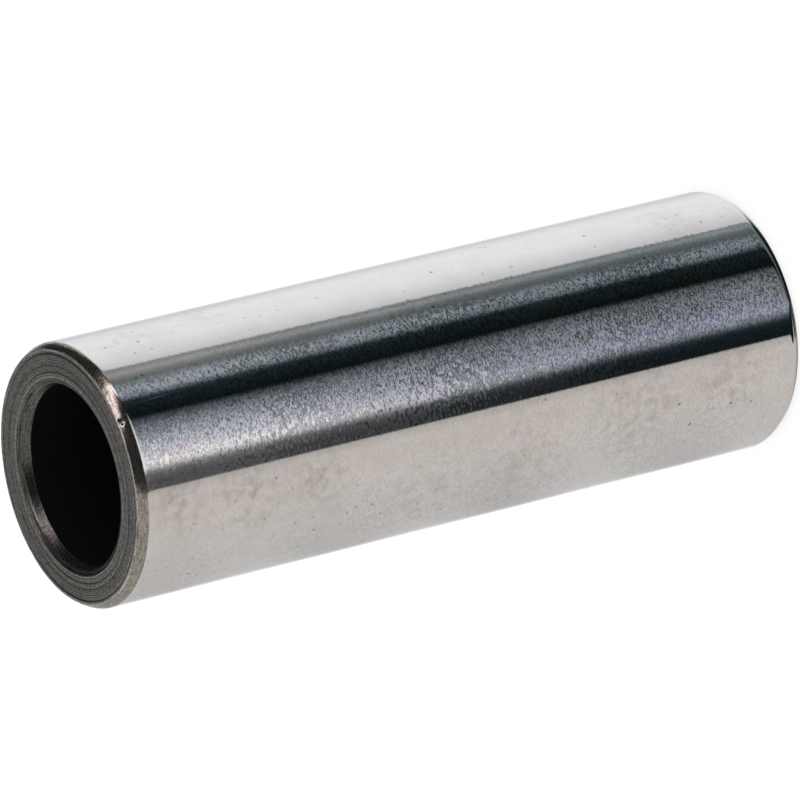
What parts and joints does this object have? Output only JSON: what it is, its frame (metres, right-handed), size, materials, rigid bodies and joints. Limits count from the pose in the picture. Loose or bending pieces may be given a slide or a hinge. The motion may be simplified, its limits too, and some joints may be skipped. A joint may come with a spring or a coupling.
{
  "type": "gudgeon pin",
  "caption": "Hollow ground-steel gudgeon pin that joins a piston to its connecting rod, with chamfered ends and a through bore.",
  "frame": {"origin": "on the pin's axis, in the plane of the end face that it stands on", "axes": "+Z along the pin's axis, from the end it stands on to the other end"},
  "size_m": [0.022, 0.022, 0.0644],
  "materials": {
    "pin_steel": "ground and polished outside, turned end faces"
  },
  "bodies": {
    "root": {"gudgeon_pin": "pin_steel"}
  },
  "joints": []
}
